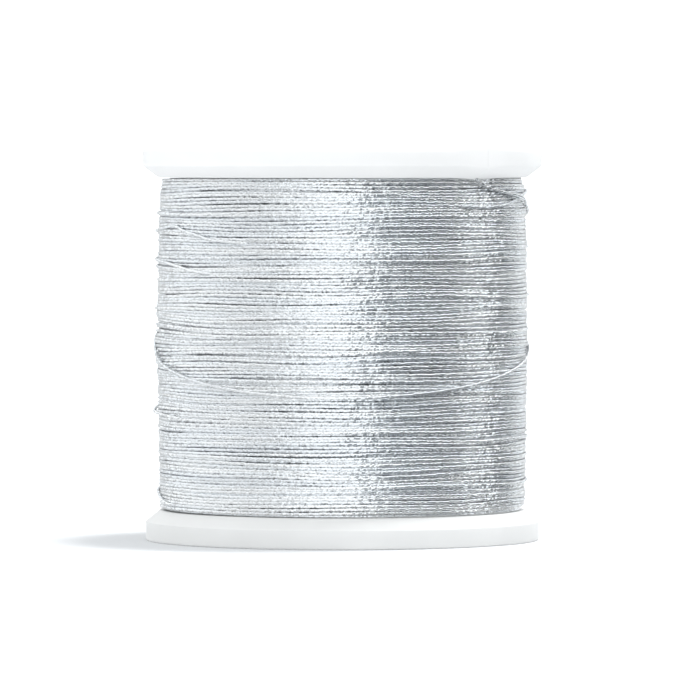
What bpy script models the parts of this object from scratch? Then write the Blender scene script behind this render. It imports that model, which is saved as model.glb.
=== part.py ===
"""Craft-cord spool: two pressed-on flanges, a core tube and the cord wound on it.

Metres, +Z up.  The origin is on the axis of the spool, at the face it stands on.
Azimuths are in degrees, measured from the front (-Y) towards the right (+X).
"""
import bpy
import bmesh
from math import sin, cos, radians, degrees, pi, atan2, hypot

MM = 0.001

# ---------------------------------------------------------------- driving sizes (mm)
OVERALL_H = 50.0            # standing height, face to face
STEPS = 64                  # facets round every turned piece
FIT = 0.3                   # gap kept between touching pieces

R_FLANGE_BOTTOM = 25.0
T_FLANGE_BOTTOM = 3.85      # outer face to the face the cord lies against
R_FLANGE_TOP = 25.4
T_FLANGE_TOP = 3.95
RIM_H = 2.4                 # straight part of the lower rim
WEB_OUT = 1.7               # depth of the recess in each outer face
WEB_IN = 3.3                # inner face of the web inside the core
RIM_W = 2.8                 # width of the flat rim the spool stands on

R_BORE = 4.6                # spindle hole
R_HUB = 8.0
HUB_IN = 5.6                # how far the hub reaches into the core
R_SPIGOT = 14.2             # spigot that the core tube is pressed over
W_SPIGOT = 1.0
SPIGOT_IN = 8.4

RIBS = 8
RIB_W = 1.0

R_CORE_OUT = 16.0
R_CORE_IN = R_SPIGOT + FIT

CORD_D = 0.40               # cord diameter
R_WIND_TOP = 22.9           # wound radius under the top flange
R_WIND_MID = 23.3
R_WIND_BOTTOM = 23.05
R_WIND_IN = R_CORE_OUT + FIT

CATCH_AZ = 45.6             # slit of the cord catch in the top flange
CATCH_SLIT = 1.0
CATCH_ROOT_AZ = 62.0        # where the finger joins the rim
CATCH_R_IN = 22.6           # inner wall of the rim
CATCH_PIVOT_Z = 48.6        # height of the line that the finger bends about
CATCH_LIFT = 0.45           # how far the finger's tip stands up
CATCH_DROP = 0.30           # and how far its lower lip reaches down
SWELL_AZ = 33.0             # the rim swells from here to the slit

LOOSE_R = 23.88             # slack turn in front
LOOSE_Z_BACK = 25.3
LOOSE_SAG = 6.5
LOOSE_HALF_SPAN = 97.0


# ---------------------------------------------------------------- clean start
for old in list(bpy.data.objects):
    bpy.data.objects.remove(old, do_unlink=True)

scene = bpy.context.scene
parts = bpy.data.collections.new("cord_spool")
cutters = bpy.data.collections.new("cutters")
scene.collection.children.link(parts)
scene.collection.children.link(cutters)


def material(name, colour, roughness, metallic=0.0):
    mat = bpy.data.materials.new(name)
    mat.use_nodes = True
    shader = mat.node_tree.nodes["Principled BSDF"]
    shader.inputs["Base Color"].default_value = (*colour, 1.0)
    shader.inputs["Roughness"].default_value = roughness
    shader.inputs["Metallic"].default_value = metallic
    mat.diffuse_color = (*colour, 1.0)
    return mat


def new_object(name, mesh, mat=None, collection=parts):
    obj = bpy.data.objects.new(name, mesh)
    collection.objects.link(obj)
    if mat is not None:
        mesh.materials.append(mat)
    if collection is cutters:
        obj.hide_render = True
        obj.display_type = "WIRE"
    return obj


def polar(r, az, z=0.0):
    a = radians(az)
    return (r * sin(a) * MM, -r * cos(a) * MM, z * MM)


def turned(name, profile, mat, steps=STEPS, collection=parts):
    """Closed profile of (radius, height) in mm, running down its outer side."""
    mesh = bpy.data.meshes.new(name)
    bm = bmesh.new()
    verts = [bm.verts.new((r * MM, 0.0, z * MM)) for r, z in profile]
    for a, b in zip(verts, verts[1:] + verts[:1]):
        bm.edges.new((a, b))
    bm.to_mesh(mesh)
    bm.free()
    obj = new_object(name, mesh, mat, collection)
    screw = obj.modifiers.new("turn", "SCREW")
    screw.axis = "Z"
    screw.angle = 2 * pi
    screw.steps = steps
    screw.render_steps = steps
    screw.use_merge_vertices = True
    screw.merge_threshold = 0.00001
    screw.use_smooth_shade = True
    return obj


def boolean(obj, operand, operation):
    mod = obj.modifiers.new(operation.lower(), "BOOLEAN")
    mod.operation = operation
    mod.solver = "EXACT"
    mod.object = operand
    return mod


def boxes(name, sizes_places, collection=cutters):
    """One object of separate boxes: (size, centre, azimuth) in mm and degrees."""
    bm = bmesh.new()
    for size, centre, az in sizes_places:
        made = bmesh.ops.create_cube(bm, size=1.0)["verts"]
        a = radians(az)
        for v in made:
            x = v.co.x * size[0]
            y = v.co.y * size[1]
            z = v.co.z * size[2] + centre[1]
            r = centre[0] + x                       # x runs outwards at azimuth az
            v.co = ((r * sin(a) + y * cos(a)) * MM,
                    (-r * cos(a) + y * sin(a)) * MM,
                    z * MM)
    mesh = bpy.data.meshes.new(name)
    bm.to_mesh(mesh)
    bm.free()
    return new_object(name, mesh, None, collection)


def sector(name, r0, r1, z0, z1, az0, az1, collection=cutters):
    """A block of a ring, from azimuth az0 to az1: a flat outline, extruded."""
    count = 6
    outline = [polar(r0, az0 + (az1 - az0) * i / count) for i in range(count + 1)]
    outline += [polar(r1, az1 + (az0 - az1) * i / count) for i in range(count + 1)]
    bm = bmesh.new()
    low = [bm.verts.new((x, y, z0 * MM)) for x, y, _ in outline]
    face = bm.faces.new(low)
    raised = bmesh.ops.extrude_face_region(bm, geom=[face])["geom"]
    for v in (g for g in raised if isinstance(g, bmesh.types.BMVert)):
        v.co.z = z1 * MM
    bmesh.ops.recalc_face_normals(bm, faces=bm.faces)
    mesh = bpy.data.meshes.new(name)
    bm.to_mesh(mesh)
    bm.free()
    return new_object(name, mesh, None, collection)


def tube(name, points, diameter, mat):
    """Round cord through the points (metres), one open POLY spline, filled caps."""
    curve = bpy.data.curves.new(name, "CURVE")
    curve.dimensions = "3D"
    curve.bevel_depth = diameter / 2 * MM
    curve.bevel_resolution = 2
    curve.use_fill_caps = True
    spline = curve.splines.new("POLY")
    spline.points.add(len(points) - 1)
    for p, co in zip(spline.points, points):
        p.co = (*co, 1.0)
    curve.materials.append(mat)
    obj = bpy.data.objects.new(name, curve)
    parts.objects.link(obj)
    return obj


def finished(obj, move=None):
    """Swap an object's modifiers for their result, moving its vertices by a rule."""
    depsgraph = bpy.context.evaluated_depsgraph_get()
    mesh = bpy.data.meshes.new_from_object(obj.evaluated_get(depsgraph))
    if move is not None:
        for v in mesh.vertices:
            v.co = move(v.co.copy())
    obj.modifiers.clear()
    old = obj.data
    obj.data = mesh
    bpy.data.meshes.remove(old)
    mesh.name = obj.name
    return obj


white_lower = material("white_plastic_lower", (0.86, 0.88, 0.89), 0.38)
white_upper = material("white_plastic_upper", (0.88, 0.90, 0.91), 0.35)
white_core = material("white_plastic_core", (0.84, 0.86, 0.86), 0.45)
white_catch = material("white_plastic_catch", (0.90, 0.92, 0.93), 0.35)
silver_wound = material("silver_cord_wound", (0.72, 0.74, 0.76), 0.30, 1.0)
silver_loose = material("silver_cord_loose", (0.80, 0.82, 0.84), 0.28, 1.0)
silver_stray = material("silver_cord_stray", (0.76, 0.78, 0.80), 0.30, 1.0)
silver_ends = material("silver_cord_ends", (0.70, 0.72, 0.75), 0.32, 1.0)

Z_IN_BOTTOM = T_FLANGE_BOTTOM
Z_IN_TOP = OVERALL_H - T_FLANGE_TOP

# ---------------------------------------------------------------- lower flange
rim_in = R_FLANGE_BOTTOM - RIM_W
bottom_flange = turned("bottom_flange", [
    (R_SPIGOT - W_SPIGOT, SPIGOT_IN),
    (R_SPIGOT - 0.4, SPIGOT_IN),
    (R_SPIGOT, SPIGOT_IN - 0.5),
    (R_SPIGOT, Z_IN_BOTTOM),
    (23.2, Z_IN_BOTTOM),
    (R_FLANGE_BOTTOM - 0.12, RIM_H + 0.08),
    (R_FLANGE_BOTTOM, RIM_H - 0.12),
    (R_FLANGE_BOTTOM, 0.35),
    (R_FLANGE_BOTTOM - 0.3, 0.0),
    (rim_in, 0.0),
    (rim_in - 0.25, WEB_OUT),
    (R_HUB + 0.2, WEB_OUT),
    (R_HUB, 0.3),
    (R_BORE + 0.3, 0.3),
    (R_BORE, 0.6),
    (R_BORE, HUB_IN),
    (R_HUB - 1.0, HUB_IN),
    (R_HUB - 0.8, WEB_IN),
    (R_SPIGOT - W_SPIGOT, WEB_IN),
], white_lower)
rib_len = (rim_in - 0.1) - (R_HUB - 0.1)
rib_mid = ((rim_in - 0.1) + (R_HUB - 0.1)) / 2
lower_ribs = boxes("lower_ribs", [
    ((rib_len, RIB_W, 1.3), (rib_mid, 1.25), 360.0 * (i + 0.5) / RIBS) for i in range(RIBS)])
boolean(bottom_flange, lower_ribs, "UNION")

# ---------------------------------------------------------------- upper flange
H = OVERALL_H
top_flange = turned("top_flange", [
    (R_BORE, H - HUB_IN),
    (R_BORE, H - 0.6),
    (R_BORE + 0.3, H - 0.3),
    (R_HUB, H - 0.3),
    (R_HUB + 0.2, H - WEB_OUT),
    (CATCH_R_IN - 0.2, H - WEB_OUT),
    (CATCH_R_IN, H - WEB_OUT + 0.2),
    (CATCH_R_IN, H),
    (R_FLANGE_TOP - 0.9, H),
    (R_FLANGE_TOP - 0.45, H - 0.12),
    (R_FLANGE_TOP - 0.12, H - 0.45),
    (R_FLANGE_TOP, H - 0.9),
    (R_FLANGE_TOP, Z_IN_TOP + 1.65),
    (R_FLANGE_TOP - 0.15, Z_IN_TOP + 1.4),
    (23.4, Z_IN_TOP),
    (R_SPIGOT, Z_IN_TOP),
    (R_SPIGOT, H - SPIGOT_IN + 0.5),
    (R_SPIGOT - 0.4, H - SPIGOT_IN),
    (R_SPIGOT - W_SPIGOT, H - SPIGOT_IN),
    (R_SPIGOT - W_SPIGOT, H - WEB_IN),
    (R_HUB - 0.8, H - WEB_IN),
    (R_HUB - 1.0, H - HUB_IN),
], white_upper)
rib_len = (CATCH_R_IN - 0.6 + 0.1) - (R_HUB - 0.1)
rib_mid = ((CATCH_R_IN - 0.6 + 0.1) + (R_HUB - 0.1)) / 2
upper_ribs = boxes("upper_ribs", [
    ((rib_len, RIB_W, 1.3), (rib_mid, H - 1.25), 360.0 * (i + 0.15) / RIBS) for i in range(RIBS)])
boolean(top_flange, upper_ribs, "UNION")

# The catch: a radial slit, and a finger of the rim that springs up beside it.
half_slit = degrees(CATCH_SLIT / 2 / R_FLANGE_TOP)
gap = degrees(FIT / R_FLANGE_TOP)
finger_az0 = CATCH_AZ + half_slit
finger_az1 = CATCH_ROOT_AZ

catch_finger = turned("catch_finger", [
    (CATCH_R_IN, H),
    (R_FLANGE_TOP - 0.9, H),
    (R_FLANGE_TOP - 0.45, H - 0.12),
    (R_FLANGE_TOP - 0.12, H - 0.45),
    (R_FLANGE_TOP, H - 0.9),
    (R_FLANGE_TOP, Z_IN_TOP + 1.65),
    (R_FLANGE_TOP - 0.15, Z_IN_TOP + 1.4),
    (23.4, Z_IN_TOP),
    (CATCH_R_IN, Z_IN_TOP),
], white_catch, steps=STEPS)
finger_block = sector("finger_block", CATCH_R_IN - 1.0, R_FLANGE_TOP + 2.0,
                      Z_IN_TOP - 2.0, H + 2.0, finger_az0, finger_az1)
boolean(catch_finger, finger_block, "INTERSECT")

finger_room = sector("finger_room", CATCH_R_IN - FIT, R_FLANGE_TOP + 2.0,
                     Z_IN_TOP - 1.0, H + 2.0,
                     CATCH_AZ - half_slit, finger_az1 + gap)
boolean(top_flange, finger_room, "DIFFERENCE")


def azimuth(co):
    return degrees(atan2(co.x, -co.y))


def flare_finger(co):
    """The finger thickens towards its free tip, upwards and at its outer lip."""
    t = max(0.0, min(1.0, (finger_az1 - azimuth(co)) / (finger_az1 - finger_az0)))
    if co.z > (H - 1.5) * MM:
        co.z += CATCH_LIFT * t ** 1.3 * MM
    elif hypot(co.x, co.y) > 23.2 * MM:
        co.z -= CATCH_DROP * t ** 2 * MM
    return co


def flare_lip(co):
    """The fixed side of the slit swells up to it, and its lip is turned down a little."""
    az = azimuth(co)
    t = max(0.0, min(1.0, (az - SWELL_AZ) / (CATCH_AZ - half_slit - SWELL_AZ)))
    if az < CATCH_AZ and t > 0.0:
        if co.z > (H - 1.5) * MM and hypot(co.x, co.y) > 22.5 * MM:
            co.z += CATCH_LIFT * (1.0 - (1.0 - t) ** 2) * MM
        elif co.z < (H - 1.5) * MM and hypot(co.x, co.y) > 23.2 * MM:
            co.z -= CATCH_DROP * t ** 2 * MM
    return co


finished(catch_finger, flare_finger)
finished(top_flange, flare_lip)

# The finger's origin is on the line it bends about, at its root.
catch_pivot = bpy.data.objects.new("catch_pivot", None)
catch_pivot.location = polar(24.0, CATCH_ROOT_AZ, CATCH_PIVOT_Z)
catch_pivot.empty_display_size = 0.003
parts.objects.link(catch_pivot)
bpy.context.view_layer.update()
catch_finger.parent = catch_pivot
catch_finger.matrix_parent_inverse = catch_pivot.matrix_world.inverted()

# ---------------------------------------------------------------- core tube
core_z0 = Z_IN_BOTTOM + FIT
core_z1 = Z_IN_TOP - FIT
core_tube = turned("core_tube", [
    (R_CORE_IN + 0.3, core_z1),
    (R_CORE_OUT, core_z1),
    (R_CORE_OUT, core_z0),
    (R_CORE_IN + 0.3, core_z0),
    (R_CORE_IN, core_z0 + 0.4),
    (R_CORE_IN, core_z1 - 0.4),
], white_core)
START_AZ = 200.0
start_slot = boxes("start_slot", [
    ((4.0, 1.1, 12.0), (R_CORE_OUT - 0.7, core_z0), START_AZ)])
boolean(core_tube, start_slot, "DIFFERENCE")

# ---------------------------------------------------------------- wound cord
cord_winding = turned("cord_winding", [
    (R_WIND_IN, core_z1),
    (R_WIND_TOP, core_z1),
    (R_WIND_TOP + 0.15, core_z1 - 2.5),
    (R_WIND_MID, core_z1 - 7.0),
    (R_WIND_MID, core_z0 + 9.0),
    (R_WIND_BOTTOM + 0.15, core_z0 + 3.0),
    (R_WIND_BOTTOM, core_z0),
    (R_WIND_IN, core_z0),
], silver_wound)


def wound_radius(z):
    """Outer radius of the winding at a height (mm)."""
    rows = [(core_z0, R_WIND_BOTTOM), (core_z0 + 3.0, R_WIND_BOTTOM + 0.15),
            (core_z0 + 9.0, R_WIND_MID), (core_z1 - 7.0, R_WIND_MID),
            (core_z1 - 2.5, R_WIND_TOP + 0.15), (core_z1, R_WIND_TOP)]
    for (za, ra), (zb, rb) in zip(rows, rows[1:]):
        if za <= z <= zb:
            return ra + (rb - ra) * (z - za) / (zb - za)
    return R_WIND_TOP


def smooth_path(points, spacing):
    """Points a fixed distance apart along a Catmull-Rom curve through the given ones."""
    pts = [points[0]] + list(points) + [points[-1]]
    dense = []
    for i in range(1, len(pts) - 2):
        p0, p1, p2, p3 = pts[i - 1:i + 3]
        for k in range(24):
            t = k / 24
            dense.append(tuple(
                0.5 * ((2 * b) + (c - a) * t + (2 * a - 5 * b + 4 * c - d) * t * t
                       + (-a + 3 * b - 3 * c + d) * t ** 3)
                for a, b, c, d in zip(p0, p1, p2, p3)))
    dense.append(tuple(points[-1]))
    out = [dense[0]]
    run = 0.0
    for a, b in zip(dense, dense[1:]):
        run += sum((u - v) ** 2 for u, v in zip(a, b)) ** 0.5
        if run >= spacing:
            out.append(b)
            run = 0.0
    if out[-1] != dense[-1]:
        out[-1] = dense[-1]
    return out


# The slack turn leaves the winding on one side, hangs across the front, and goes back
# into it on the other side.
loose = []
count = 60
edge = cos(radians(LOOSE_HALF_SPAN + 4.0))
for i in range(count + 1):
    az = -LOOSE_HALF_SPAN + 2 * LOOSE_HALF_SPAN * i / count
    hang = ((cos(radians(az)) - edge) / (1.0 - edge)) ** 1.05
    loose.append(polar(LOOSE_R + 0.06 * hang, az,
                       LOOSE_Z_BACK + 0.9 - (LOOSE_SAG + 0.9) * hang + 0.12 * az / 90))
tube("loose_turn", loose, CORD_D, silver_loose)

# Turns that ran across their neighbours and lie on top of the winding.
PROUD = FIT + CORD_D / 2 + 0.02


def stray(name, route):
    """route: (azimuth, height) in degrees and mm, on the surface of the winding."""
    points = []
    for az, z in route:
        points.append(polar(wound_radius(z) + PROUD, az, z))
    tube(name, smooth_path(points, 0.0012), CORD_D, silver_stray)


stray("stray_turn_upper_left", [(-96, 39.2), (-82, 39.4), (-73, 39.7), (-64, 40.0), (-58, 39.5),
                                (-51, 38.9), (-45, 38.4), (-38, 38.15), (-29, 37.95)])
stray("stray_turn_middle_left", [(-95, 35.9), (-82, 35.6), (-69, 35.3), (-61, 34.95), (-50, 34.3),
                                 (-43, 34.1)])
stray("stray_turn_lower_left", [(-98, 7.2), (-88, 6.3), (-80, 5.6), (-72, 5.0), (-65, 4.8)])
stray("stray_turn_left", [(-104, 17.6), (-92, 16.8), (-80, 16.3), (-70, 16.05), (-60, 15.85)])
stray("stray_turn_upper_right", [(38, 42.5), (48, 42.4), (55, 42.5), (64, 42.9), (73, 43.7),
                                 (80, 44.05), (90, 44.4), (100, 44.5)])

# The outer end climbs over the last turns, goes through the slit of the catch and ends
# on the web of the top flange.
end_climb = [(112, 40.4), (102, 40.9), (94, 41.5), (88, 42.0), (82, 42.65), (78, 43.1), (74, 43.5),
             (70, 43.8), (66, 44.0), (58, 44.4), (50, 44.8)]
OVER = {82: 0.35, 78: 0.75, 74: 0.78, 70: 0.75, 66: 0.35}      # where it crosses a stray turn
end_route = [polar(wound_radius(z) + PROUD + OVER.get(az, 0.0), az, z) for az, z in end_climb]
end_route += [
             polar(23.75, CATCH_AZ, 45.6),
             polar(23.7, CATCH_AZ, 46.9),
             polar(23.3, CATCH_AZ, 48.3),
             polar(22.5, CATCH_AZ, 48.95),
             polar(21.6, CATCH_AZ - 0.5, 48.9),
             polar(20.2, CATCH_AZ - 2.2, 48.85),
             polar(18.6, CATCH_AZ - 5.0, 48.85)]
tube("cord_end", smooth_path(end_route, 0.0011), CORD_D, silver_ends)

# The inner end passes through a slot at the foot of the core tube and is knotted inside.
knot_r = 0.75
start_route = [polar(R_CORE_OUT + 0.05, START_AZ, core_z0 + 5.0),
               polar(R_CORE_OUT - 0.8, START_AZ, core_z0 + 5.05),
               polar(R_CORE_IN - 0.15, START_AZ, core_z0 + 5.2)]
# inside the tube the spigot ends below the slot's upper part, so the cord runs over it
start_cord = tube("cord_start", smooth_path(start_route, 0.0004), CORD_D, silver_ends)

# ---------------------------------------------------------------- smooth shading
bpy.context.view_layer.update()
for obj in parts.objects:
    if obj.type == "MESH":
        obj.data.shade_smooth()
        obj.data.set_sharp_from_angle(angle=radians(35))
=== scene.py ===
"""Looks of the craft-cord spool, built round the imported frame.

Metres, +Z up.  Azimuths are in degrees from the front (-Y) towards the right (+X).
"""
import bpy
import bmesh
import numpy as np
from math import sin, cos, tan, radians, degrees, pi, atan2, hypot, sqrt
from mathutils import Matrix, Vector


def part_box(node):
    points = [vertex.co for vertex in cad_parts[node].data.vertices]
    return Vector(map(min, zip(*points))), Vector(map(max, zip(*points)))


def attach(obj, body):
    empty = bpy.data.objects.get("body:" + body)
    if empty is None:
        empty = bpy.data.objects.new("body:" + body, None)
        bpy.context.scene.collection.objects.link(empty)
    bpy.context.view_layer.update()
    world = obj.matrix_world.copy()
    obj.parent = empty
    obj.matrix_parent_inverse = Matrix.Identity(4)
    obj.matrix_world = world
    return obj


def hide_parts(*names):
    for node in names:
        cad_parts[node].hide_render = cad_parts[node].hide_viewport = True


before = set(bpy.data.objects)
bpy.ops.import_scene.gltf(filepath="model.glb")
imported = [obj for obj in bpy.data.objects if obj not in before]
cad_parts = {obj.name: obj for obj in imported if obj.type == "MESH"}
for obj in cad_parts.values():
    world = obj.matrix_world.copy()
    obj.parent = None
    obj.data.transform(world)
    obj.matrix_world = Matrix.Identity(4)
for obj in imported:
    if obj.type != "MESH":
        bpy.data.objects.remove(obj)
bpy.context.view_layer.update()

MM = 0.001
scene = bpy.context.scene
rng = np.random.default_rng(20261118)

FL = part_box("bottom_flange")
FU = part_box("top_flange")
H = FU[1][2] / MM - 0.45               # standing height without the swelling of the rim, mm
R_LOWER = FL[1][0] / MM
R_UPPER = FU[1][0] / MM
CORD_D = 0.40

# ------------------------------------------------------------------ camera
cam_data = bpy.data.cameras.new("camera")
cam = bpy.data.objects.new("camera", cam_data)
scene.collection.objects.link(cam)
cam_data.sensor_width = 36.0
cam_data.lens = 364.1
cam_data.clip_start = 0.05
cam_data.clip_end = 50.0
cam.location = (-0.0003, -0.875, 0.0483)
cam.rotation_euler = (radians(90.0 - 1.5), 0.0, 0.0)
scene.camera = cam
scene.view_settings.view_transform = "Standard"
scene.view_settings.look = "None"
scene.view_settings.exposure = 0.0
scene.view_settings.gamma = 1.0


# ------------------------------------------------------------------ node helpers
def nodes_of(name):
    mat = bpy.data.materials.new(name)
    mat.use_nodes = True
    tree = mat.node_tree
    return mat, tree, tree.nodes["Principled BSDF"]


def add(tree, kind, **values):
    n = tree.nodes.new(kind)
    for key, value in values.items():
        setattr(n, key, value)
    return n


def math_node(tree, op, a, b=None, c=None, clamp=False):
    n = add(tree, "ShaderNodeMath", operation=op, use_clamp=clamp)
    for i, v in enumerate((a, b, c)):
        if v is None:
            continue
        if isinstance(v, (int, float)):
            n.inputs[i].default_value = v
        else:
            tree.links.new(v, n.inputs[i])
    return n.outputs[0]


def ramp(tree, source, stops, interpolation="LINEAR"):
    n = add(tree, "ShaderNodeValToRGB")
    n.color_ramp.interpolation = interpolation
    el = n.color_ramp.elements
    while len(el) > 1:
        el.remove(el[-1])
    el[0].position, el[0].color = stops[0][0], stops[0][1]
    for pos, col in stops[1:]:
        e = el.new(pos)
        e.color = col
    tree.links.new(source, n.inputs[0])
    return n.outputs[0]


def grey(v, tint=(1.0, 1.0, 1.0)):
    return (v * tint[0], v * tint[1], v * tint[2], 1.0)


# ------------------------------------------------------------------ studio light
# A white room: bright panels to the front and left, a grey gap at the front right.
world = bpy.data.worlds.new("studio")
scene.world = world
world.use_nodes = True
wt = world.node_tree
wt.nodes.clear()
coord = add(wt, "ShaderNodeTexCoord")
sep = add(wt, "ShaderNodeSeparateXYZ")
wt.links.new(coord.outputs["Generated"], sep.inputs[0])
neg_y = math_node(wt, "MULTIPLY", sep.outputs["Y"], -1.0)
az = math_node(wt, "ARCTAN2", sep.outputs["X"], neg_y)
az01 = math_node(wt, "MULTIPLY_ADD", az, 1.0 / (2 * pi), 0.5)
PANELS = [(-180, 1.03), (-140, 1.06), (-110, 0.98), (-75, 0.85), (-52, 0.70), (-42, 0.80),
          (-28, 1.09), (-8, 1.18), (12, 1.12), (17, 0.64), (23, 0.34), (40, 0.30), (60, 0.17),
          (88, 0.11), (94.5, 0.55), (99.5, 2.10), (104.5, 0.60), (109, 0.09), (128, 0.09),
          (134, 0.48), (143, 1.15), (180, 1.02)]
band = ramp(wt, az01, [((a + 180) / 360, grey(v, (0.97, 1.0, 1.02) if v > 0.5 else (0.90, 1.0, 1.07)))
                       for a, v in PANELS])
behind = math_node(wt, "MULTIPLY_ADD", sep.outputs["Y"], 0.15, 0.15)
lifted = math_node(wt, "ADD", sep.outputs["Z"], behind)          # the ceiling comes lower at the back
high = ramp(wt, lifted, [(0.0, grey(0.0)), (0.30, grey(0.0)), (0.58, grey(1.0)), (1.0, grey(1.0))])
CEILING = [(-180, 1.18), (-60, 1.12), (0, 1.12), (14, 1.22), (24, 1.52), (130, 1.42), (145, 1.25), (180, 1.18)]
over = ramp(wt, az01, [((a + 180) / 360, grey(v, (0.98, 1.0, 1.015))) for a, v in CEILING])
room = add(wt, "ShaderNodeMix", data_type="RGBA")
wt.links.new(high, room.inputs["Factor"])
wt.links.new(band, room.inputs[6])
wt.links.new(over, room.inputs[7])
bg = add(wt, "ShaderNodeBackground")
wt.links.new(room.outputs[2], bg.inputs["Color"])
bg.inputs["Strength"].default_value = 1.0
seen = add(wt, "ShaderNodeBackground")
seen.inputs["Color"].default_value = grey(1.0)
seen.inputs["Strength"].default_value = 1.4
path = add(wt, "ShaderNodeLightPath")
pick = add(wt, "ShaderNodeMixShader")
wt.links.new(path.outputs["Is Camera Ray"], pick.inputs[0])
wt.links.new(bg.outputs[0], pick.inputs[1])
wt.links.new(seen.outputs[0], pick.inputs[2])
out = add(wt, "ShaderNodeOutputWorld")
wt.links.new(pick.outputs[0], out.inputs["Surface"])


def area_light(name, location, target, size_x, size_y, power, colour=(1, 1, 1)):
    data = bpy.data.lights.new(name, "AREA")
    data.shape = "RECTANGLE"
    data.size, data.size_y = size_x, size_y
    data.energy = power
    data.color = colour
    obj = bpy.data.objects.new(name, data)
    scene.collection.objects.link(obj)
    obj.location = location
    aim = Vector(target) - Vector(location)
    obj.rotation_euler = aim.to_track_quat("-Z", "Y").to_euler()
    return obj


key = area_light("key_softbox", (0.455, 0.17, 2.12), (0.0, 0.0, 0.02), 0.38, 0.38, 30.0)
key.visible_glossy = False
fill = area_light("fill_softbox", (-1.05, -1.60, 0.50), (0.0, 0.0, 0.03), 0.90, 0.90, 4.2)
fill.visible_glossy = False

# ------------------------------------------------------------------ floor
bm = bmesh.new()
bmesh.ops.create_grid(bm, x_segments=2, y_segments=2, size=12.0)
mesh = bpy.data.meshes.new("floor")
bm.to_mesh(mesh)
bm.free()
floor = bpy.data.objects.new("floor", mesh)
scene.collection.objects.link(floor)
floor.location = (0.0, 6.0, 0.0)
floor.visible_glossy = False
mat, tree, bsdf = nodes_of("pale_floor")
bsdf.inputs["Base Color"].default_value = (0.725, 0.735, 0.745, 1.0)
bsdf.inputs["Roughness"].default_value = 0.9
bsdf.inputs["Specular IOR Level"].default_value = 0.0
bsdf.inputs["Emission Color"].default_value = (0.97, 0.985, 1.0, 1.0)
tc = add(tree, "ShaderNodeTexCoord")
away = add(tree, "ShaderNodeVectorMath", operation="DISTANCE")
tree.links.new(tc.outputs["Object"], away.inputs[0])
away.inputs[1].default_value = (0.0, -6.0, 0.0)
glow = add(tree, "ShaderNodeMapRange")
glow.inputs["From Min"].default_value = 0.045
glow.inputs["From Max"].default_value = 0.30
glow.inputs["To Min"].default_value = 0.0
glow.inputs["To Max"].default_value = 1.2
tree.links.new(away.outputs["Value"], glow.inputs["Value"])
tree.links.new(glow.outputs[0], bsdf.inputs["Emission Strength"])
mesh.materials.append(mat)


# ------------------------------------------------------------------ mesh helpers
def polar(r, a, z=0.0):
    a = radians(a)
    return (r * sin(a) * MM, -r * cos(a) * MM, z * MM)


def rounded(profile):
    """(radius, height, fillet[, steps]) corners to a list of points, arcs at fillets."""
    pts = []
    n = len(profile)
    for i, corner in enumerate(profile):
        p = Vector(corner[:2])
        f = corner[2] if len(corner) > 2 else 0.0
        if f <= 0.0:
            pts.append((p.x, p.y))
            continue
        a = Vector(profile[i - 1][:2]) - p
        b = Vector(profile[(i + 1) % n][:2]) - p
        la, lb = a.length, b.length
        a.normalize(); b.normalize()
        half = a.angle(b) / 2
        cut = min(f / tan(half), la * 0.48, lb * 0.48)
        rad = cut * tan(half)
        centre = p + (a + b).normalized() * (rad / sin(half))
        s = p + a * cut - centre
        e = p + b * cut - centre
        steps = corner[3] if len(corner) > 3 else 4
        sweep = s.angle(e)
        sign = 1.0 if s.x * e.y - s.y * e.x > 0 else -1.0
        for k in range(steps + 1):
            t = sign * sweep * k / steps
            pts.append((centre.x + s.x * cos(t) - s.y * sin(t),
                        centre.y + s.x * sin(t) + s.y * cos(t)))
    return pts


def revolve(name, profile, steps):
    """Closed turned solid from a closed profile (mm), outer side running down."""
    pts = np.array(profile)
    ang = np.radians(np.arange(steps) * 360.0 / steps)
    x = np.outer(np.cos(ang), pts[:, 0]) * MM
    y = np.outer(np.sin(ang), pts[:, 0]) * MM
    z = np.tile(pts[:, 1] * MM, (steps, 1))
    co = np.stack([x, y, z], -1).reshape(-1, 3)
    n = len(pts)
    i = np.arange(steps)[:, None]
    j = np.arange(n)[None, :]
    a = i * n + j
    b = i * n + (j + 1) % n
    c = ((i + 1) % steps) * n + (j + 1) % n
    d = ((i + 1) % steps) * n + j
    quads = np.stack([a, b, c, d], -1).reshape(-1, 4)
    return quad_mesh(name, co, quads)


def quad_mesh(name, co, quads, smooth=True, ngons=()):
    """Mesh of faces with one corner count (quads or triangles), and any caps."""
    mesh = bpy.data.meshes.new(name)
    quads = np.asarray(quads, np.int32)
    loops = list(map(len, ngons))
    total = len(quads) + len(ngons)
    mesh.vertices.add(len(co))
    mesh.vertices.foreach_set("co", np.asarray(co, np.float32).ravel())
    flat = np.concatenate([quads.ravel()] + [np.asarray(g, np.int32) for g in ngons])
    mesh.loops.add(len(flat))
    mesh.loops.foreach_set("vertex_index", flat)
    sizes = np.concatenate([np.full(len(quads), quads.shape[1]), np.array(loops, int)])
    starts = np.concatenate([[0], np.cumsum(sizes)[:-1]]).astype(np.int32)
    mesh.polygons.add(total)
    mesh.polygons.foreach_set("loop_start", starts)
    mesh.polygons.foreach_set("use_smooth", np.full(total, smooth))
    mesh.update(calc_edges=True)
    mesh.validate()
    return mesh


def piece(name, mesh, mat, body="spool"):
    obj = bpy.data.objects.new(name, mesh)
    scene.collection.objects.link(obj)
    mesh.materials.clear()
    mesh.materials.append(mat)
    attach(obj, body)
    return obj


def temp(name, mesh):
    obj = bpy.data.objects.new(name, mesh)
    scene.collection.objects.link(obj)
    return obj


def evaluated(obj):
    dg = bpy.context.evaluated_depsgraph_get()
    return bpy.data.meshes.new_from_object(obj.evaluated_get(dg))


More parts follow.
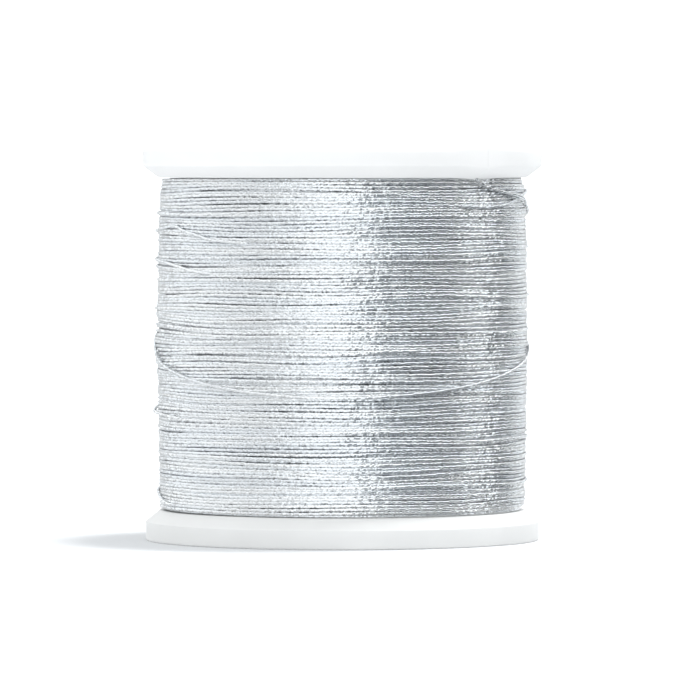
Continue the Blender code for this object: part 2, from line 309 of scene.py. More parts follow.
def cut(base, tools):
    """Boolean the tools ((object, operation), ...) into base and keep the result."""
    for tool, op in tools:
        m = base.modifiers.new(op, "BOOLEAN")
        m.operation, m.solver, m.object = op, "EXACT", tool
    mesh = evaluated(base)
    base.modifiers.clear()
    base.data = mesh
    for tool, _ in tools:
        if tool.name in bpy.data.objects:
            bpy.data.objects.remove(tool, do_unlink=True)
    return mesh


# ------------------------------------------------------------------ materials
def plastic(name, colour, roughness, grain=0.00002):
    """Injection-moulded styrene: satin, faintly mottled, with fine tool marks."""
    mat, tree, bsdf = nodes_of(name)
    tc = add(tree, "ShaderNodeTexCoord")
    mottle = add(tree, "ShaderNodeTexNoise")
    mottle.inputs["Scale"].default_value = 160.0
    mottle.inputs["Detail"].default_value = 3.0
    tree.links.new(tc.outputs["Object"], mottle.inputs["Vector"])
    lo = tuple(c * 0.965 for c in colour)
    col = ramp(tree, mottle.outputs["Fac"],
               [(0.3, (*lo, 1.0)), (0.7, (*colour, 1.0))])
    tree.links.new(col, bsdf.inputs["Base Color"])
    fine = add(tree, "ShaderNodeTexNoise")
    fine.inputs["Scale"].default_value = 2600.0
    fine.inputs["Detail"].default_value = 2.0
    tree.links.new(tc.outputs["Object"], fine.inputs["Vector"])
    rough = add(tree, "ShaderNodeMapRange")
    rough.inputs["To Min"].default_value = roughness - 0.05
    rough.inputs["To Max"].default_value = roughness + 0.07
    tree.links.new(mottle.outputs["Fac"], rough.inputs["Value"])
    tree.links.new(rough.outputs[0], bsdf.inputs["Roughness"])
    bump = add(tree, "ShaderNodeBump")
    bump.inputs["Strength"].default_value = 0.25
    bump.inputs["Distance"].default_value = grain
    tree.links.new(fine.outputs["Fac"], bump.inputs["Height"])
    tree.links.new(bump.outputs[0], bsdf.inputs["Normal"])
    bsdf.inputs["IOR"].default_value = 1.5
    bsdf.inputs["Subsurface Weight"].default_value = 0.12
    bsdf.inputs["Subsurface Radius"].default_value = (1.0, 1.0, 1.0)
    bsdf.inputs["Subsurface Scale"].default_value = 0.0012
    return mat


# Painted light: one white plastic in two copies. The bottom flange's copy is paler (0.765) to make up for the
# shade near the floor, and the top's is darker (0.672) against the stronger light from above.
white = plastic("white_styrene", (0.672, 0.672, 0.668), 0.36)
white_lower_brightened = plastic("white_styrene_lower_brightened", (0.765, 0.765, 0.755), 0.36)
white_core = plastic("white_styrene_core", (0.82, 0.84, 0.84), 0.46)


def silver(name, low, high, roughness, tilt, rolls, pitch=0.25, grain=0.45):
    """Metallised film wrapped on a core: each wrap of the film is a slightly tilted band.

    pitch is one wrap's length along the cord in mm, tilt how far its edge leans, and
    rolls how unevenly the wraps lie round the cord; grain darkens random specks of the film.
    """
    mat, tree, bsdf = nodes_of(name)
    tone = add(tree, "ShaderNodeAttribute", attribute_name="tone")
    col = ramp(tree, tone.outputs["Fac"], [
        (0.0, (*low, 1.0)),
        (0.35, (low[0] * 0.5 + high[0] * 0.5, low[1] * 0.5 + high[1] * 0.5, low[2] * 0.45 + high[2] * 0.55, 1.0)),
        (0.7, (*high, 1.0)),
        (1.0, (high[0] * 0.97, high[1] * 0.985, high[2] * 1.0, 1.0))])
    wrap = add(tree, "ShaderNodeAttribute", attribute_name="wrap")
    specks = add(tree, "ShaderNodeTexNoise")
    specks.inputs["Scale"].default_value = 3.2
    specks.inputs["Detail"].default_value = 1.0
    tree.links.new(wrap.outputs["Vector"], specks.inputs["Vector"])
    # random dark specks: the film's colour is made darker by up to grain where the noise is low
    dark_specks = ramp(tree, specks.outputs["Fac"], [(0.27, grey(1.0 - grain)), (0.47, grey(1.0))])
    tinted = add(tree, "ShaderNodeMix", data_type="RGBA", blend_type="MULTIPLY")
    tinted.inputs["Factor"].default_value = 1.0
    tree.links.new(col, tinted.inputs[6])
    tree.links.new(dark_specks, tinted.inputs[7])
    tree.links.new(tinted.outputs[2], bsdf.inputs["Base Color"])
    part = add(tree, "ShaderNodeSeparateXYZ")
    tree.links.new(wrap.outputs["Vector"], part.inputs[0])
    around = math_node(tree, "ARCTAN2", part.outputs["Y"], part.outputs["X"])
    # the film's lay wanders a little along the cord
    wander = add(tree, "ShaderNodeTexNoise", noise_dimensions="1D")
    wander.inputs["Scale"].default_value = 1.3
    wander.inputs["Detail"].default_value = 2.0
    tree.links.new(part.outputs["Z"], wander.inputs["W"])
    phase = math_node(tree, "MULTIPLY_ADD", part.outputs["Z"], 1.0 / pitch,
                      math_node(tree, "MULTIPLY", around, 1.0 / (2 * pi)))
    phase = math_node(tree, "MULTIPLY_ADD", wander.outputs["Fac"], 2.2, phase)
    saw = math_node(tree, "FRACT", phase)
    lean = math_node(tree, "MULTIPLY_ADD", saw, 0.8, -0.4)
    wrap_no = math_node(tree, "FLOOR", phase)
    odd = add(tree, "ShaderNodeTexWhiteNoise", noise_dimensions="2D")
    seat = add(tree, "ShaderNodeCombineXYZ")
    tree.links.new(wrap_no, seat.inputs[0])
    tree.links.new(tone.outputs["Fac"], seat.inputs[1])
    tree.links.new(wrap_no, seat.inputs[1])
    tree.links.new(seat.outputs[0], odd.inputs["Vector"])
    lean = math_node(tree, "ADD", lean, math_node(tree, "MULTIPLY_ADD", odd.outputs["Value"], 2.6, -1.3))
    lean = math_node(tree, "MULTIPLY", lean, tilt)
    run = add(tree, "ShaderNodeAttribute", attribute_name="cord_run")
    shift = add(tree, "ShaderNodeVectorMath", operation="SCALE")
    tree.links.new(run.outputs["Vector"], shift.inputs[0])
    tree.links.new(lean, shift.inputs["Scale"])
    geo = add(tree, "ShaderNodeNewGeometry")
    side = add(tree, "ShaderNodeVectorMath", operation="CROSS_PRODUCT")
    tree.links.new(run.outputs["Vector"], side.inputs[0])
    tree.links.new(geo.outputs["Normal"], side.inputs[1])
    part2 = add(tree, "ShaderNodeSeparateColor")
    tree.links.new(odd.outputs["Color"], part2.inputs[0])
    roll = math_node(tree, "MULTIPLY_ADD", part2.outputs[1], 2.0 * rolls, -rolls)
    shift2 = add(tree, "ShaderNodeVectorMath", operation="SCALE")
    tree.links.new(side.outputs[0], shift2.inputs[0])
    tree.links.new(roll, shift2.inputs["Scale"])
    both = add(tree, "ShaderNodeVectorMath", operation="ADD")
    tree.links.new(shift.outputs[0], both.inputs[0])
    tree.links.new(shift2.outputs[0], both.inputs[1])
    total = add(tree, "ShaderNodeVectorMath", operation="ADD")
    tree.links.new(geo.outputs["Normal"], total.inputs[0])
    tree.links.new(both.outputs[0], total.inputs[1])
    unit = add(tree, "ShaderNodeVectorMath", operation="NORMALIZE")
    tree.links.new(total.outputs[0], unit.inputs[0])
    tree.links.new(unit.outputs[0], bsdf.inputs["Normal"])
    bsdf.inputs["Roughness"].default_value = roughness
    bsdf.inputs["Metallic"].default_value = 1.0
    return mat


silver_top = silver("silver_cord", (0.89, 0.915, 0.94), (0.975, 0.985, 0.99), 0.13, 0.115, 0.36)
silver_under = silver("silver_cord_under", (0.87, 0.89, 0.91), (0.94, 0.95, 0.96), 0.20, 0.12, 0.26)
silver_slack = silver("silver_cord_slack", (0.88, 0.90, 0.92), (0.97, 0.98, 0.99), 0.20, 0.11, 0.26)
mat, tree, bsdf = nodes_of("silver_cord_deep")
n = add(tree, "ShaderNodeTexNoise")
n.inputs["Scale"].default_value = 900.0
c = ramp(tree, n.outputs["Fac"], [(0.3, (0.76, 0.79, 0.82, 1)), (0.7, (0.90, 0.92, 0.94, 1))])
tree.links.new(c, bsdf.inputs["Base Color"])
bsdf.inputs["Metallic"].default_value = 0.8
bsdf.inputs["Roughness"].default_value = 0.5
silver_deep = mat

# ------------------------------------------------------------------ flanges
T_LOWER, T_UPPER = 3.85, 3.95
Z_IN_LOWER, Z_IN_UPPER = T_LOWER, H - T_UPPER
SPIGOT, HUB, BORE = 14.2, 8.0, 4.6
SMOOTH_STEPS = 288

rim_in = R_LOWER - 2.8
SLIT_AZ, ROOT_AZ = 45.6, 62.0
H_RIM, SWELL = H, 0.44
HALF_SLIT = degrees(0.01 / R_UPPER)
SLIT_AZ0, TIP_AZ = SLIT_AZ - HALF_SLIT, SLIT_AZ + HALF_SLIT


def ribs(name, r_out, z_mid, phase, side):
    """Eight radial ribs on a web's outer face, their free edges rounded."""
    bm = bmesh.new()
    for i in range(8):
        made = bmesh.ops.create_cube(bm, size=1.0)["verts"]
        a = radians(360.0 * (i + phase) / 8)
        r0, r1 = HUB - 0.1, r_out - 0.1
        for v in made:
            x, y, z = v.co.x * (r1 - r0), v.co.y * 1.0, v.co.z * 1.3
            if v.co.z * side > 0:
                y *= 0.82                                  # draft
            r = (r0 + r1) / 2 + x
            v.co = ((r * sin(a) + y * cos(a)) * MM, (-r * cos(a) + y * sin(a)) * MM,
                    (z + z_mid) * MM)
    free = [e for e in bm.edges
            if all((v.co.z - z_mid * MM) * side > 0 for v in e.verts)
            and (e.verts[0].co.xy - e.verts[1].co.xy).length > 0.005]
    bmesh.ops.bevel(bm, geom=free, offset=0.22 * MM, segments=3, affect="EDGES", profile=0.5)
    mesh = bpy.data.meshes.new(name)
    bm.to_mesh(mesh)
    bm.free()
    return temp(name, mesh)


def ring_block(name, r0, r1, z0, z1, az0, az1, count=14):
    outline = [polar(r0, az0 + (az1 - az0) * i / count) for i in range(count + 1)]
    outline += [polar(r1, az1 + (az0 - az1) * i / count) for i in range(count + 1)]
    bm = bmesh.new()
    face = bm.faces.new([bm.verts.new((x, y, z0 * MM)) for x, y, _ in outline])
    for g in bmesh.ops.extrude_face_region(bm, geom=[face])["geom"]:
        if isinstance(g, bmesh.types.BMVert):
            g.co.z = z1 * MM
    bmesh.ops.recalc_face_normals(bm, faces=bm.faces)
    mesh = bpy.data.meshes.new(name)
    bm.to_mesh(mesh)
    bm.free()
    return temp(name, mesh)


def dress(obj, mat, body="spool", angle=32.0):
    obj.data.materials.clear()
    obj.data.materials.append(mat)
    obj.data.shade_smooth()
    obj.data.set_sharp_from_angle(angle=radians(angle))
    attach(obj, body)


lower = revolve("bottom_flange_moulding", rounded([
    (SPIGOT - 1.0, 8.4, 0.1),
    (SPIGOT - 0.4, 8.4, 0.1),
    (SPIGOT, 7.9, 0.1),
    (SPIGOT, Z_IN_LOWER, 0.0),
    (23.2, Z_IN_LOWER, 0.3),
    (R_LOWER, 2.4, 0.16, 5),
    (R_LOWER, 0.0, 0.30, 5),
    (rim_in, 0.0, 0.25),
    (rim_in - 0.25, 1.7, 0.35),
    (HUB + 0.2, 1.7, 0.35),
    (HUB, 0.3, 0.25),
    (BORE, 0.3, 0.30),
    (BORE, 5.6, 0.2),
    (HUB - 1.0, 5.6, 0.2),
    (HUB - 0.8, 3.3, 0.2),
    (SPIGOT - 1.0, 3.3, 0.2),
]), SMOOTH_STEPS)
lower_obj = temp("bottom_flange_moulding", lower)
cut(lower_obj, [(ribs("lower_ribs", rim_in, 1.25, 0.5, -1), "UNION")])
lower_obj.data.name = "bottom_flange_moulding"
# painted light: the bottom flange takes the paler copy of the white plastic, brightened against its shade
dress(lower_obj, white_lower_brightened)
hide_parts("bottom_flange")

upper = revolve("top_flange_moulding", rounded([
    (BORE, H - 5.6, 0.2),
    (BORE, H - 0.3, 0.30),
    (HUB, H - 0.3, 0.25),
    (HUB + 0.2, H - 1.7, 0.35),
    (22.4, H - 1.7, 0.3),
    (22.6, H, 0.25),
    (R_UPPER, H, 0.85, 7),
    (R_UPPER, Z_IN_UPPER + 1.5, 0.35, 5),
    (23.4, Z_IN_UPPER, 0.3),
    (SPIGOT, Z_IN_UPPER, 0.0),
    (SPIGOT, H - 7.9, 0.1),
    (SPIGOT - 0.4, H - 8.4, 0.1),
    (SPIGOT - 1.0, H - 8.4, 0.1),
    (SPIGOT - 1.0, H - 3.3, 0.2),
    (HUB - 0.8, H - 3.3, 0.2),
    (HUB - 1.0, H - 5.6, 0.2),
]), SMOOTH_STEPS)
upper_obj = temp("top_flange_moulding", upper)
cut(upper_obj, [(ribs("upper_ribs", 22.4, H - 1.25, 0.15, 1), "UNION"),
                (ring_block("finger_room", 22.3, R_UPPER + 2.0, Z_IN_UPPER - 1.0, H + 2.0,
                            SLIT_AZ0, ROOT_AZ + 0.68), "DIFFERENCE")])
for v in upper_obj.data.vertices:          # the rim swells towards the fixed side of the slit
    az_v, r_v, z_v = degrees(atan2(v.co.x, -v.co.y)), hypot(v.co.x, v.co.y) / MM, v.co.z / MM
    t = min(max((az_v - 33.0) / (SLIT_AZ0 - 33.0), 0.0), 1.0)
    if t > 0.0 and az_v < SLIT_AZ and r_v > 22.3:
        up = min(max((z_v - (H_RIM - 2.4)) / 1.6, 0.0), 1.0)
        lip = min(max((r_v - 23.0) / 0.5, 0.0), 1.0) * min(max(((H_RIM - 1.6) - z_v) / 1.0, 0.0), 1.0)
        v.co.z += (SWELL * (1.0 - (1.0 - t) ** 2) * up * min(max((r_v - 22.3) / 0.3, 0.0), 1.0)
                   - 0.30 * t ** 2 * lip) * MM
upper_obj.data.name = "top_flange_moulding"
# painted light: the top flange takes the darker copy of the white plastic, dimmed against the light from above
dress(upper_obj, white)
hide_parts("top_flange")

# The catch finger: the same rim section, thickened towards its free tip.
finger_section = rounded([
    (22.6, H, 0.25),
    (R_UPPER, H, 0.85, 7),
    (R_UPPER, Z_IN_UPPER + 1.5, 0.35, 5),
    (23.4, Z_IN_UPPER, 0.3),
    (22.6, Z_IN_UPPER, 0.2),
])
mid_r = sum(p[0] for p in finger_section) / len(finger_section)
mid_z = sum(p[1] for p in finger_section) / len(finger_section)
FINGER_END = ROOT_AZ + 0.70
stations = [(TIP_AZ + degrees(0.03 * (1 - cos(pi / 2 * k / 4)) / R_UPPER),
             0.03 * (1 - sin(pi / 2 * k / 4))) for k in range(4)]
stations += [(TIP_AZ + degrees(0.03 / R_UPPER) + (FINGER_END - TIP_AZ - degrees(0.03 / R_UPPER)) * k / 26, 0.0)
             for k in range(27)]
co = []
for az_s, inset in stations:
    t = min(max((ROOT_AZ - az_s) / (ROOT_AZ - TIP_AZ), 0.0), 1.0)
    for r, z in finger_section:
        d = hypot(r - mid_r, z - mid_z)
        r2 = r - (r - mid_r) / d * inset
        z2 = z - (z - mid_z) / d * inset
        up = min(max((z - (H - 2.4)) / 1.6, 0.0), 1.0)
        z2 += 0.44 * t ** 1.3 * up
        lip = min(max((r - 23.0) / 0.5, 0.0), 1.0) * min(max(((H - 1.6) - z) / 1.0, 0.0), 1.0)
        z2 -= 0.30 * t ** 2 * lip
        co.append(polar(r2, az_s, z2))
m = len(finger_section)
quads = [(i * m + j, i * m + (j + 1) % m, (i + 1) * m + (j + 1) % m, (i + 1) * m + j)
         for i in range(len(stations) - 1) for j in range(m)]
caps = [list(range(m))[::-1], list(range((len(stations) - 1) * m, len(stations) * m))]
finger_obj = temp("catch_finger_moulding", quad_mesh("catch_finger_moulding", co, quads, ngons=caps))
dress(finger_obj, white, body="catch")
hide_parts("catch_finger")

# ------------------------------------------------------------------ core tube
core = temp("core_sleeve", revolve("core_sleeve", rounded([
    (14.8, Z_IN_UPPER - 0.05, 0.0),
    (16.0, Z_IN_UPPER - 0.05, 0.15),
    (16.0, Z_IN_LOWER + 0.05, 0.15),
    (14.8, Z_IN_LOWER + 0.05, 0.0),
    (14.3, Z_IN_LOWER + 0.6, 0.1),
    (14.3, Z_IN_UPPER - 0.6, 0.1),
]), 180))
slot_bm = bmesh.new()
a = radians(200.0)
for v in bmesh.ops.create_cube(slot_bm, size=1.0)["verts"]:
    r, y, z = 15.3 + v.co.x * 4.0, v.co.y * 1.1, Z_IN_LOWER + 0.3 + v.co.z * 12.0
    v.co = ((r * sin(a) + y * cos(a)) * MM, (-r * cos(a) + y * sin(a)) * MM, z * MM)
slot_mesh = bpy.data.meshes.new("slot_cutter")
slot_bm.to_mesh(slot_mesh)
slot_bm.free()
cut(core, [(temp("slot_cutter", slot_mesh), "DIFFERENCE")])
core.data.name = "core_sleeve"
dress(core, white_core)
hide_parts("core_tube")

# ------------------------------------------------------------------ the wound cord
M = 720                                   # samples round one turn
PHI = np.linspace(0.0, 360.0, M, endpoint=False)
Z0, Z1 = Z_IN_LOWER + 0.22, Z_IN_UPPER - 0.22

SURFACE = [(3.5, 22.9), (5.0, 23.2), (7.0, 23.3), (10.4, 23.36), (15.6, 23.46), (22.0, 23.55),
           (30.5, 23.58), (36.0, 23.5), (40.9, 23.4), (44.0, 23.25), (45.4, 22.95), (46.4, 22.6)]


def surface_radius(z):
    zs, rs = zip(*SURFACE)
    return np.interp(z, zs, rs)


def smooth_noise(count, knots, amplitude, seed):
    """Smooth random curve of `count` samples with one knot every count/knots samples."""
    g = np.random.default_rng(seed)
    k = g.normal(0.0, 1.0, knots + 4)
    t = np.linspace(0.0, knots, count, endpoint=False)
    i = t.astype(int)
    f = t - i
    p0, p1, p2, p3 = k[i], k[i + 1], k[i + 2], k[i + 3]
    v = (p0 * (1 - f) ** 3 + p1 * (3 * f ** 3 - 6 * f ** 2 + 4)
         + p2 * (-3 * f ** 3 + 3 * f ** 2 + 3 * f + 1) + p3 * f ** 3) / 6
    return v * amplitude / 0.55


def warp(z, phi, seed, amp):
    """Slow drift shared by neighbouring turns, periodic round the spool (mm)."""
    g = np.random.default_rng(seed)
    out = np.zeros(np.broadcast(z, phi).shape)
    for _ in range(26):
        m = g.integers(1, 7)
        lz = g.uniform(3.0, 11.0)
        a = g.normal(0.0, 1.0) / (0.6 + 0.28 * m)
        out = out + a * np.sin(2 * pi * z / lz + g.uniform(0, 2 * pi)) \
            * np.sin(np.radians(m * phi) + g.uniform(0, 2 * pi))
    return out * amp / 2.2


def helix(turns, up, seed, amp_shared, amp_own):
    """z of each sample, shape (turns, M): one continuous helix with its own wander."""
    s = (np.arange(turns * M) / M).reshape(turns, M)
    pitch = (Z1 - Z0) / turns
    z = Z0 + pitch * (s + 0.0) + pitch * 0.5
    z = np.minimum(z, Z1)
    if not up:
        z = Z0 + Z1 - z
    phi = np.tile(PHI, (turns, 1))
    own = smooth_noise(turns * M, turns * 7, amp_own, seed + 1).reshape(turns, M)
    fast = smooth_noise(turns * M, turns * 30, amp_own * 0.25, seed + 2).reshape(turns, M)
    edge = np.clip(np.minimum(z - Z0, Z1 - z) / 1.2, 0.0, 1.0)
    z = z + (warp(z, phi, seed, amp_shared) + own + fast) * edge
    return np.clip(z, Z0 - 0.02, Z1 + 0.02)


def settle(z, base, others, d):
    """Drop each turn in order onto the base radius and the turns already there."""
    r = np.zeros_like(z)
    laid_z = [o[0] for o in others]
    laid_r = [o[1] for o in others]
    under_z = np.concatenate(laid_z) if laid_z else np.zeros((0, M))
    under_r = np.concatenate(laid_r) if laid_r else np.zeros((0, M))
    d_side = d * 0.80
    for k in range(len(z)):
        rk = base(z[k]).copy()
        if len(under_z):
            dz = np.abs(under_z - z[k])
            lift = np.where(dz < d, under_r + np.sqrt(np.maximum(d * d - dz * dz, 0)), 0.0)
            rk = np.maximum(rk, lift.max(0))
        if k:
            near = slice(max(0, k - 5), k)
            dz = np.abs(z[near] - z[k])
            lift = np.where(dz < d_side, r[near] + np.sqrt(np.maximum(d_side ** 2 - dz * dz, 0)), 0.0)
            rk = np.maximum(rk, lift.max(0))
        for _ in range(3):
            rk = (np.roll(rk, 1) + 2 * rk + np.roll(rk, -1)) / 4
        r[k] = rk
    return r


TURNS_TOP, TURNS_UNDER = 104, 100
z_under = helix(TURNS_UNDER, False, 501, 0.08, 0.035)
r_under = settle(z_under, lambda z: surface_radius(z) - 0.94, [], CORD_D * 0.9)
z_top = helix(TURNS_TOP, True, 733, 0.13, 0.048)
r_top = settle(z_top, lambda z: surface_radius(z) - 0.66, [(z_under, r_under)], CORD_D * 0.88)
# keep the outer envelope where the winding's outline is
over = (r_top + CORD_D / 2) - surface_radius(z_top)
r_top = r_top - np.median(over) + smooth_noise(TURNS_TOP * M, TURNS_TOP * 8, 0.035, 91).reshape(TURNS_TOP, M)
PHI_AZ = (PHI + 180.0 + 180.0) % 360.0 - 180.0       # azimuth of each sample
# the turns that the slack one drags out with it where it leaves the winding
drag = np.exp(-((np.abs(PHI_AZ + 94.0)) / 15.0) ** 2)[None, :] * np.exp(-((z_top - 25.5) / 1.35) ** 2)
r_top = r_top + 0.36 * drag
r_under = r_under - np.median(over) + 0.11


def tube_mesh(name, path, sides, radius, twist, seed, lumps=0.012):
    """Cord through path (N, 3, metres), its section turning along it.

    Also gives each vertex the cord's direction, and (cosine, sine, run in mm) of its
    place round and along the cord, which set the lie of the film wrapped on it.
    """
    n = len(path)
    tan_ = np.gradient(path, axis=0)
    tan_ /= np.linalg.norm(tan_, axis=1)[:, None]
    out_ = np.stack([path[:, 0], path[:, 1], np.zeros(n)], -1)
    out_ /= np.maximum(np.linalg.norm(out_, axis=1), 1e-9)[:, None]
    out_ -= tan_ * (out_ * tan_).sum(1)[:, None]
    out_ /= np.linalg.norm(out_, axis=1)[:, None]
    up_ = np.cross(tan_, out_)
    step = np.concatenate([[0], np.cumsum(np.linalg.norm(np.diff(path, axis=0), axis=1))]) / MM
    turn = step * twist
    g = np.random.default_rng(seed)
    th = 2 * pi * (np.arange(sides) + g.random()) / sides
    ang = th[None, :] + turn[:, None]
    rad = radius * MM * (1.0 + lumps * g.normal(size=(n, 1)).clip(-2, 2))
    co = (path[:, None, :]
          + out_[:, None, :] * (np.cos(ang) * rad)[..., None]
          + up_[:, None, :] * (np.sin(ang) * rad)[..., None]).reshape(-1, 3)
    i = np.arange(n - 1)[:, None]
    j = np.arange(sides)[None, :]
    a = i * sides + j
    b = i * sides + (j + 1) % sides
    c = (i + 1) * sides + (j + 1) % sides
    d = (i + 1) * sides + j
    quads = np.stack(np.broadcast_arrays(a, b, c, d), -1).reshape(-1, 4)
    run = np.repeat(step + g.random() * 10.0, sides)
    wrap = np.stack([np.cos(ang).ravel(), np.sin(ang).ravel(), run], -1)
    return co, quads, n, np.repeat(tan_, sides, axis=0), wrap


def cords(name, paths, mat, sides=8, radius=CORD_D / 2, twist=0.0, seed=1, smooth=True,
          body="spool", tone=None):
    """Several cords joined in one piece, with the attributes that its finish reads."""
    all_co, all_q, all_tone, all_dir, all_wrap, caps = [], [], [], [], [], []
    base = 0
    for k, path in enumerate(paths):
        co, q, n, direction, wrap = tube_mesh(name, path, sides, radius, twist, seed + k)
        all_co.append(co)
        all_dir.append(direction)
        all_wrap.append(wrap)
        all_q.append(q + base)
        caps.append(list(range(base, base + sides))[::-1])
        caps.append(list(range(base + (n - 1) * sides, base + n * sides)))
        t = smooth_noise(n, max(3, n // 60), 0.22, seed * 17 + k) + 0.5
        t = t + smooth_noise(n, max(3, n // 500), 0.12, seed * 31 + k)
        if tone is not None:
            t = t * 0.4 + tone * 0.6
        all_tone.append(np.repeat(np.clip(t, 0, 1), sides))
        base += len(co)
    co = np.concatenate(all_co)
    mesh = quad_mesh(name, co, np.concatenate(all_q), smooth=smooth, ngons=caps)
    if len(mesh.vertices) == len(co):
        at = mesh.attributes.new("tone", "FLOAT", "POINT")
        at.data.foreach_set("value", np.concatenate(all_tone).astype(np.float32))
        for key, rows in (("cord_run", all_dir), ("wrap", all_wrap)):
            at = mesh.attributes.new(key, "FLOAT_VECTOR", "POINT")
            at.data.foreach_set("vector", np.concatenate(rows).astype(np.float32).ravel())
    mesh.set_sharp_from_angle(angle=radians(80.0))
    obj = piece(name, mesh, mat, body)
    return obj


def xyz(r, phi, z):
    a = np.radians(phi)
    return np.stack([r * np.sin(a), -r * np.cos(a), z], -1) * MM


START = 180.0                              # turns begin at the back
SIDES = 8
SEG = 2 * pi * 23.3 / M
TWIST = (pi / SIDES) / SEG                 # half a facet a segment
offsets = np.random.default_rng(77).random(200)


def run_of_turns(r, z, turns, first_turn, last_turn, step=1):
    """Path of some turns in one run; the samples shift from turn to turn, so that
    neighbours' facets don't line up."""
    s_all = np.arange(turns * M)
    r_all, z_all = r.ravel(), z.ravel()
    marks = [k * M + offsets[k] for k in range(first_turn, last_turn + 1)]
    s = np.concatenate([np.linspace(a, b, M // step, endpoint=False) for a, b in zip(marks, marks[1:])]
                       + [[marks[-1], marks[-1] + 0.7]])
    s = s[s <= turns * M - 1.0]
    return xyz(np.interp(s, s_all, r_all), s / M * 360.0 + START, np.interp(s, s_all, z_all))


TURNS_A_PIECE = 13
for p in range(0, TURNS_TOP, TURNS_A_PIECE):
    cords(f"wound_cord_{p // TURNS_A_PIECE + 1}",
          [run_of_turns(r_top, z_top, TURNS_TOP, p, p + TURNS_A_PIECE)], silver_top,
          sides=SIDES, radius=0.226, twist=TWIST, seed=1000 + p * 7)
for p in range(0, TURNS_UNDER, 25):
    cords(f"under_cord_{p // 25 + 1}", [run_of_turns(r_under, z_under, TURNS_UNDER, p, p + 25, 3)],
          silver_under, sides=8, radius=0.226, seed=3000 + p * 7)


# ------------------------------------------------------------------ crossing and loose cord
def through(points, spacing):
    """Points `spacing` apart on a Catmull-Rom curve through (N, 3) points."""
    p = np.asarray(points, float)
    p = np.vstack([2 * p[0] - p[1], p, 2 * p[-1] - p[-2]])
    t = np.linspace(0.0, 1.0, 60, endpoint=False)[:, None]
    rows = [0.5 * (2 * b + (c - a) * t + (2 * a - 5 * b + 4 * c - d) * t ** 2
                   + (3 * b - a - 3 * c + d) * t ** 3)
            for a, b, c, d in zip(p, p[1:], p[2:], p[3:])]
    dense = np.vstack(rows + [p[-2:-1]])
    run = np.concatenate([[0], np.cumsum(np.linalg.norm(np.diff(dense, axis=0), axis=1))])
    s = np.linspace(0.0, run[-1], max(2, int(round(run[-1] / spacing)) + 1))
    return np.stack([np.interp(s, run, dense[:, i]) for i in range(3)], -1)


def path_length(path):
    return float(np.linalg.norm(np.diff(path, axis=0), axis=1).sum())


def lie_on(az_, z_, d=CORD_D * 0.97):
    """Radius (mm) of a cord's centre where it rests on the wound turns."""
    cols = np.round((np.asarray(az_) - START) / 360.0 * M).astype(int) % M
    out_r = surface_radius(z_) - 0.2
    for i, (c, zz) in enumerate(zip(cols, z_)):
        dz = np.abs(z_top[:, c] - zz)
        near = dz < d
        if near.any():
            out_r[i] = max(out_r[i], (r_top[near, c] + np.sqrt(d * d - dz[near] ** 2)).max())
    return out_r


def soften(v, times):
    v = v.copy()
    for _ in range(times):
        w = np.concatenate([v[:1], v, v[-1:]])
        v = (w[:-2] + 2 * w[1:-1] + w[2:]) / 4
    return v


def crossing(route, dive=1.8, depth=0.75):
    """A turn over its neighbours: route of (azimuth, height), its ends going back in."""
    flat = through([(a, z, 0.0) for a, z in route], 0.45)
    az_, z_ = flat[:, 0], flat[:, 1]
    rest = lie_on(az_, z_)
    r = np.maximum(soften(rest, 30), soften(rest, 4) - 0.03)
    run = np.concatenate([[0], np.cumsum(np.hypot(np.diff(np.radians(az_)) * 23.5, np.diff(z_)))])
    for from_end in (run, run[-1] - run):
        k = np.clip(1.0 - from_end / dive, 0.0, 1.0)
        r = r - depth * k * k * (3 - 2 * k)
    return through(xyz(r, az_, z_), SEG * MM)


ROUTES = {
    "stray_turn_upper_left": [(-85, 39.35), (-80, 39.45), (-73, 39.7), (-64, 40.0), (-58, 39.5),
                              (-51, 38.9), (-45, 38.4), (-38, 38.15), (-29, 37.95)],
    "stray_turn_middle_left": [(-95, 35.9), (-82, 35.6), (-69, 35.3), (-61, 34.95), (-50, 34.3), (-43, 34.1)],
    "stray_turn_lower_left": [(-94, 6.9), (-88, 6.3), (-80, 5.6), (-72, 5.0), (-65, 4.8)],
    "stray_turn_left": [(-98, 17.2), (-92, 16.8), (-80, 16.3), (-70, 16.05), (-60, 15.85)],
    "stray_turn_upper_right": [(38, 42.5), (48, 42.4), (55, 42.5), (64, 42.9), (73, 43.7),
                               (80, 44.05), (90, 44.4), (100, 44.5)],
}
for i, (name, route) in enumerate(ROUTES.items()):
    obj = cords(name + "_cord", [crossing(route)], silver_top, sides=SIDES, twist=TWIST, seed=5000 + i)
    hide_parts(name)

# The slack turn: out of the winding at one side, across the front, back in at the other.
edge = cos(radians(101.0))
az_ = np.linspace(-106.0, 100.0, 125)
hang = np.maximum((np.cos(np.radians(az_)) - edge) / (1.0 - edge), 0.0) ** 0.82
rise = np.clip((-az_ - 79.0) / 13.0, 0.0, 1.0)              # steeper where it leaves on the left
z_ = 26.2 - 7.4 * hang + 0.12 * az_ / 90.0 + 1.05 * rise * rise * (3 - 2 * rise)
rise = np.clip((az_ - 77.0) / 14.0, 0.0, 1.0)
z_ = z_ + 0.70 * rise * rise * (3 - 2 * rise)
r_ = 23.80 + 0.12 * hang
dip = np.where(az_ > 0, np.clip((az_ - 82.0) / 16.0, 0.0, 1.0), np.clip((-az_ - 92.0) / 14.0, 0.0, 1.0))
r_ = r_ - 0.80 * dip * dip * (3 - 2 * dip)
slack_path = through(xyz(r_, az_, z_), SEG * MM)
slack = cords("slack_turn_cord", [slack_path], silver_slack, sides=SIDES, twist=TWIST, seed=5100)
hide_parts("loose_turn")

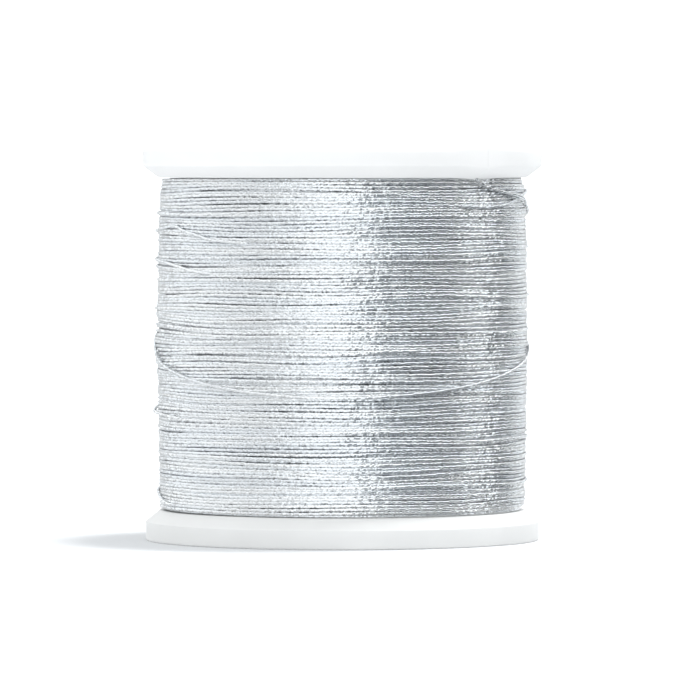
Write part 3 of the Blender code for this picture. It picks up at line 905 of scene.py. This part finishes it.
# The outer end: over the last turns, up through the slit, down onto the web.
climb = [(112, 40.4), (102, 40.9), (94, 41.5), (88, 42.0), (82, 42.65), (78, 43.1), (74, 43.5),
         (70, 43.8), (66, 44.0), (58, 44.4), (50, 44.8)]
flat = through([(a, z, 0.0) for a, z in climb], 0.6)
rest = lie_on(flat[:, 0], flat[:, 1])
rest = np.maximum(soften(rest, 20), soften(rest, 3) - 0.03)
rest = rest + 0.36 * np.exp(-((flat[:, 0] - 74.0) / 6.0) ** 2)      # over the stray turn
start_dip = np.clip(1.0 - (112 - flat[:, 0]) / 5.0, 0.0, 1.0)
rest = rest - 0.75 * start_dip * start_dip * (3 - 2 * start_dip)
route = [tuple(p) for p in xyz(rest[:-4:3], flat[:-4:3, 0], flat[:-4:3, 1])]
route += [polar(23.55, SLIT_AZ, 45.75), polar(23.4, SLIT_AZ, 46.9), polar(23.1, SLIT_AZ, 48.1),
          polar(22.4, SLIT_AZ, 48.66), polar(21.5, SLIT_AZ - 0.5, 48.55), polar(20.2, SLIT_AZ - 2.2, 48.51),
          polar(18.6, SLIT_AZ - 5.0, 48.51)]
end_path = through(route, SEG * MM)
end = cords("outer_end_cord", [end_path], silver_top, sides=SIDES, twist=TWIST, seed=5200)
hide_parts("cord_end")

# The inner end goes through the slot at the foot of the core tube.
foot = Z_IN_LOWER + 5.3
inner_path = through([polar(16.35, 204, foot - 0.1), polar(16.2, 201, foot), polar(15.4, 200, foot + 0.05),
                      polar(14.4, 200, foot + 0.2)], 0.1 * MM)
inner = cords("inner_end_cord", [inner_path], silver_top, sides=SIDES, twist=TWIST, seed=5300)
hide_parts("cord_start")
print("slack turn", path_length(slack_path), "outer end", path_length(end_path))

zs = np.linspace(Z_IN_LOWER + 0.05, Z_IN_UPPER - 0.05, 60)
core_profile = [(16.3, zs[-1])] + [(float(surface_radius(z)) - 0.82, float(z)) for z in zs[::-1]] + [(16.3, zs[0])]
deep = piece("wound_cord_core", revolve("wound_cord_core", core_profile, 180), silver_deep)
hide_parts("cord_winding")
